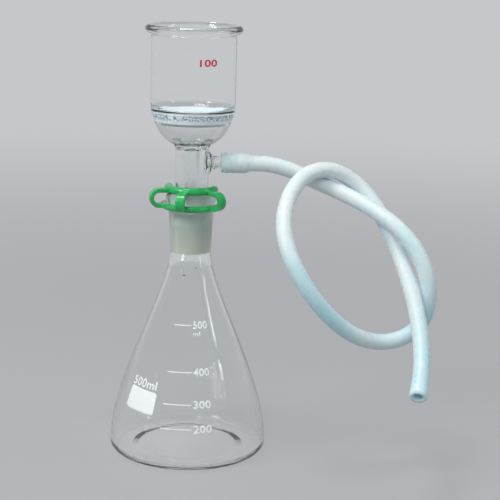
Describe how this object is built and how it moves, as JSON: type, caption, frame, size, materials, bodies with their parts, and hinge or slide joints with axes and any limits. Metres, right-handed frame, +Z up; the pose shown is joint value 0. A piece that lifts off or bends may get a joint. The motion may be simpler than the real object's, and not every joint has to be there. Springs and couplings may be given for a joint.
{
  "type": "vacuum filtration unit",
  "caption": "Conical glass flask with a fritted filter funnel in its ground joint, a plastic joint clip, and a soft vacuum hose on the funnel's side arm.",
  "frame": {"origin": "centre of the flask's base, on the surface it stands on", "axes": "+Z up along the axis of the flask and funnel, +X along the funnel's side arm, -Y towards the front"},
  "size_m": [0.2116, 0.1551, 0.2853],
  "materials": {
    "flask_glass": "clear, with a finely ground socket",
    "funnel_glass": "clear, with a finely ground cone",
    "sintered_glass": "white, porous, sintered",
    "clip_plastic": "smooth moulded, satin",
    "hose_silicone": "soft, translucent, milky"
  },
  "bodies": {
    "flask": {"conical_flask": "flask_glass"},
    "funnel": {"filter_funnel": "funnel_glass", "fritted_disc": "sintered_glass", "vacuum_hose": "hose_silicone"},
    "clip": {"joint_clip": "clip_plastic"}
  },
  "joints": [
    {"name": "funnel_turn", "type": "hinge", "parent": "flask", "child": "funnel", "pos_m": [0, 0, 0.176], "axis": [0, 0, 1], "continuous": true},
    {"name": "clip_pull", "type": "slide", "parent": "flask", "child": "clip", "axis": [-0.2756, -0.9613, 0], "range_m": [0, 0.03]}
  ]
}
